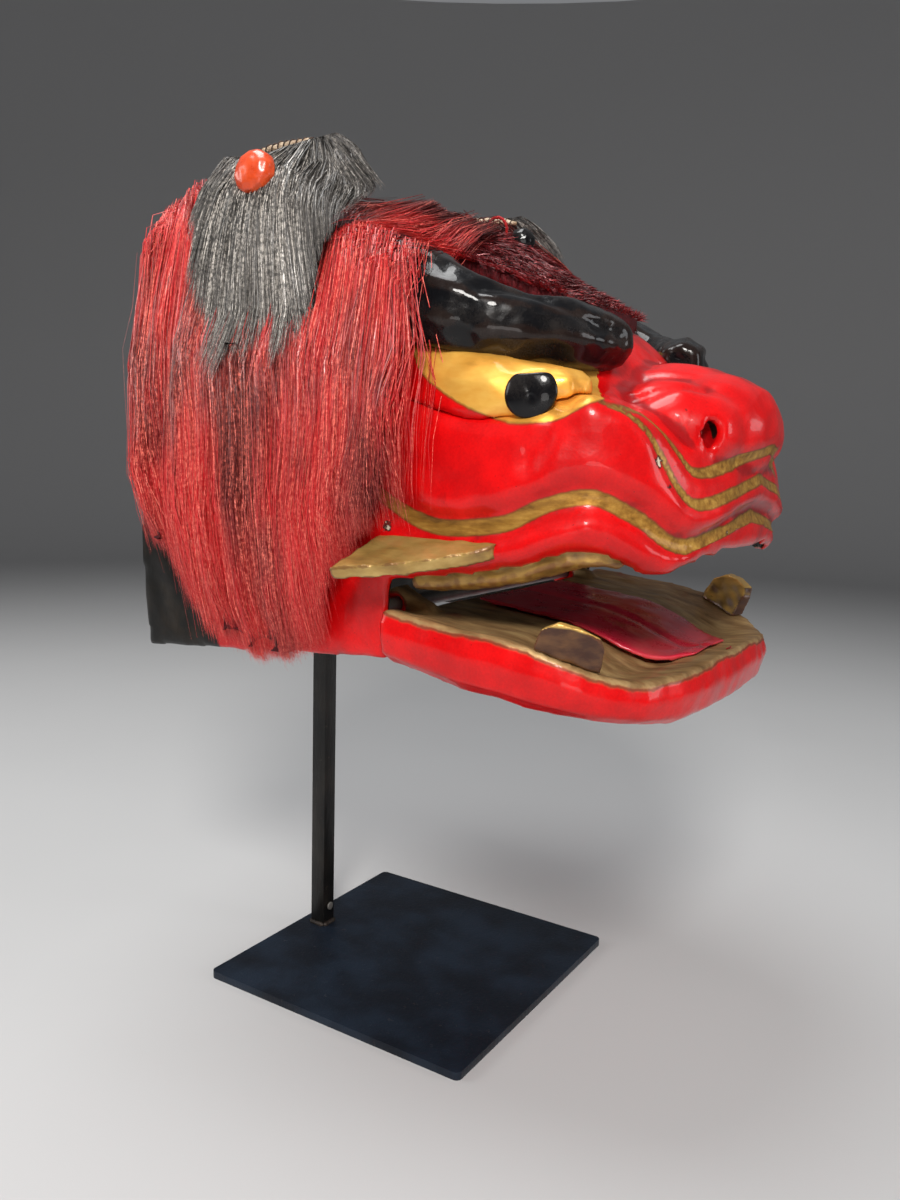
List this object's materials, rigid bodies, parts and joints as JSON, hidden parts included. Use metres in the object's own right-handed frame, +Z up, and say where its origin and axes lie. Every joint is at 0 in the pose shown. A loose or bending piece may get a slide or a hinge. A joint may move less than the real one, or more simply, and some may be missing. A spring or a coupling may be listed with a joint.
{
  "type": "lion dance head and stand",
  "caption": "Carved lion dance head in red lacquer with a hinged jaw, hair mane and hair ears, held up on a square steel plate and bar.",
  "frame": {"origin": "centre of the underside of the stand's square plate", "axes": "+Z up, -Y the way the face looks, +X towards the lion's left side"},
  "size_m": [0.3258, 0.3529, 0.531],
  "materials": {
    "red_lacquer": "glossy red lacquer on carved wood",
    "black_lacquer": "glossy black lacquer on carved wood",
    "gold_paint": "worn gold paint on carved wood",
    "old_gold": "dull brown-gold paint on carved wood",
    "tongue_red": "satin pink-red paint on wood",
    "red_hair": "long coarse hair dyed red",
    "dark_hair": "coarse black and grey hair",
    "rawhide": "pale stitched hide",
    "tack_orange": "satin orange-red lacquer",
    "red_thread": "thin red cord",
    "dark_steel": "black painted steel"
  },
  "bodies": {
    "head": {"head_shell": "red_lacquer", "brow_right": "black_lacquer", "brow_left": "black_lacquer", "eye_right": "gold_paint", "eye_left": "gold_paint", "pupil_right": "black_lacquer", "pupil_left": "black_lacquer", "upper_gum_right": "gold_paint", "upper_gum_left": "gold_paint", "side_tusk_right": "gold_paint", "side_tusk_left": "gold_paint", "jaw_pin": "dark_steel", "mane_right": "red_hair", "mane_left": "red_hair", "crown_hair": "red_hair", "crown_knob": "black_lacquer", "crown_tie": "red_thread", "ear_flap_right": "dark_hair", "ear_flap_left": "dark_hair", "ear_rim_right": "rawhide", "ear_rim_left": "rawhide", "ear_tack_right": "tack_orange", "ear_tack_left": "tack_orange", "stand_plate": "dark_steel", "stand_post": "dark_steel", "stand_screw": "dark_steel"},
    "jaw": {"lower_jaw": "red_lacquer", "lower_fang_right": "old_gold", "lower_fang_left": "old_gold", "tongue": "tongue_red"}
  },
  "joints": [
    {"name": "jaw_hinge", "type": "hinge", "parent": "head", "child": "jaw", "pos_m": [0, -0.056, 0.276], "axis": [-1, 0, 0], "range_deg": [0, 14]}
  ]
}
